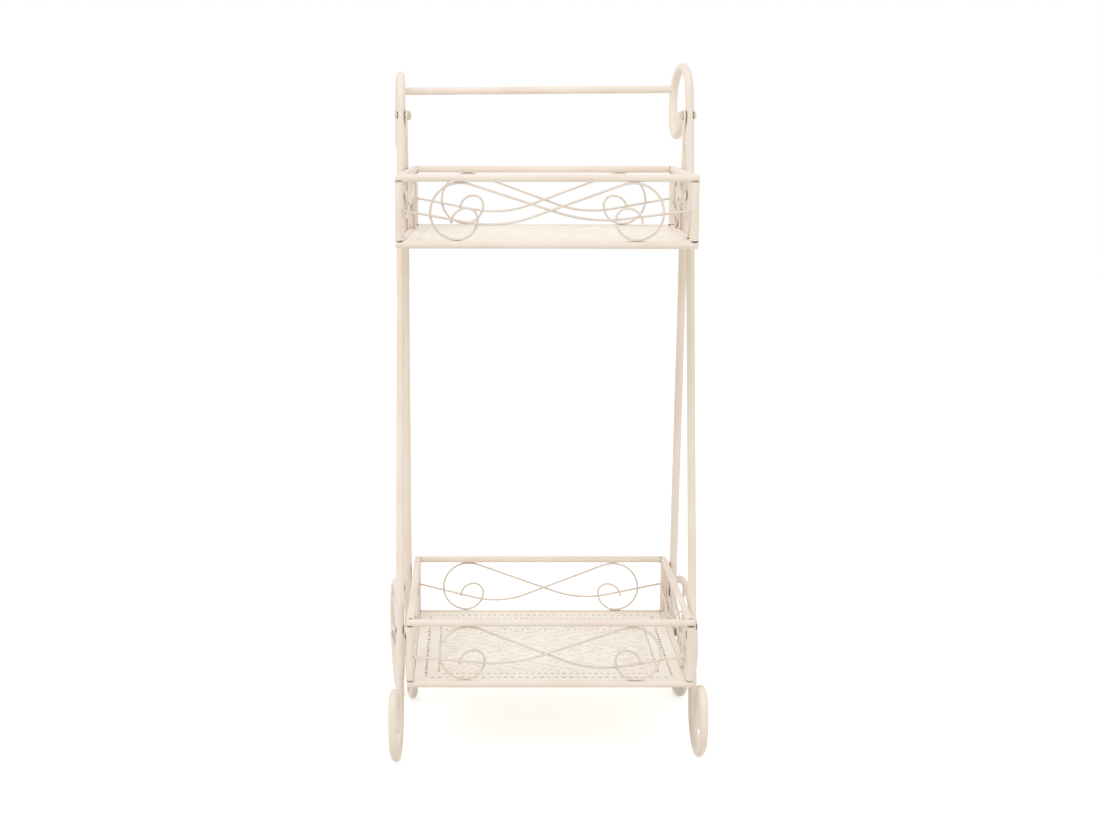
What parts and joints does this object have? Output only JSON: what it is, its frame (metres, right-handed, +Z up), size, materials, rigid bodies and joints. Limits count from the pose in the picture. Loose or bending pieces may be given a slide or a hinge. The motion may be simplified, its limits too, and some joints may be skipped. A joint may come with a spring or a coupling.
{
  "type": "flower_cart_stand",
  "caption": "Two-tier flower cart stand of cream powder-coated steel tube: A-frame sides with scroll ends, handle bar, wire-scroll trays and two rear wheels",
  "frame": {"origin": "bottom centre of the bounding box, on the ground", "axes": "+X to the right, +Y to the back where the handle and wheels are, +Z up"},
  "size_m": [0.426, 0.4167, 0.8613],
  "materials": {
    "cream_tube": "cream powder coat on steel tube, low sheen",
    "cream_sheet": "cream powder coat on punched and embossed sheet steel",
    "cream_wire": "cream powder coat on bent steel wire",
    "cream_hub": "cream powder coat on turned hubs",
    "zinc_steel": "zinc-plated fasteners",
    "plug_plastic": "ivory moulded tube plugs"
  },
  "bodies": {
    "frame": {"apex_bolts": "zinc_steel", "apex_nuts": "zinc_steel", "apex_washers": "zinc_steel", "axle_bolts": "zinc_steel", "axle_nuts": "zinc_steel", "axle_spacers": "zinc_steel", "axle_washers": "zinc_steel", "handle_bar": "cream_tube", "left_front_leg": "cream_tube", "left_rear_leg": "cream_tube", "lower_back_scrolls": "cream_wire", "lower_bottom_back_rail": "cream_tube", "lower_bottom_front_rail": "cream_tube", "lower_bottom_side_rails": "cream_tube", "lower_corner_posts": "cream_tube", "lower_floor_panel": "cream_sheet", "lower_front_scrolls": "cream_wire", "lower_left_scrolls": "cream_wire", "lower_mounting_flats": "cream_tube", "lower_mounting_lugs": "cream_tube", "lower_right_scrolls": "cream_wire", "lower_top_back_rail": "cream_tube", "lower_top_front_rail": "cream_tube", "lower_top_side_rails": "cream_tube", "lower_tray_bolts": "cream_tube", "right_front_leg": "cream_tube", "right_rear_leg": "cream_tube", "tube_plugs": "plug_plastic", "upper_back_scrolls": "cream_wire", "upper_bottom_back_rail": "cream_tube", "upper_bottom_front_rail": "cream_tube", "upper_bottom_side_rails": "cream_tube", "upper_corner_posts": "cream_tube", "upper_floor_panel": "cream_sheet", "upper_front_scrolls": "cream_wire", "upper_left_scrolls": "cream_wire", "upper_mounting_flats": "cream_tube", "upper_mounting_lugs": "cream_tube", "upper_right_scrolls": "cream_wire", "upper_top_back_rail": "cream_tube", "upper_top_front_rail": "cream_tube", "upper_top_side_rails": "cream_tube", "upper_tray_bolts": "cream_tube"},
    "left_wheel": {"left_wheel_rim": "cream_tube", "left_wheel_spokes": "cream_tube", "left_wheel_hub": "cream_hub"},
    "right_wheel": {"right_wheel_rim": "cream_tube", "right_wheel_spokes": "cream_tube", "right_wheel_hub": "cream_hub"}
  },
  "joints": [
    {"name": "left_wheel_roll", "type": "hinge", "parent": "frame", "child": "left_wheel", "pos_m": [-0.1997, 0.11975, 0.0782], "axis": [-0.9936, -0.1127, -0.0102], "continuous": true},
    {"name": "right_wheel_roll", "type": "hinge", "parent": "frame", "child": "right_wheel", "pos_m": [0.1997, 0.13235, 0.0782], "axis": [0.9936, 0.1126, 0.0116], "continuous": true}
  ]
}
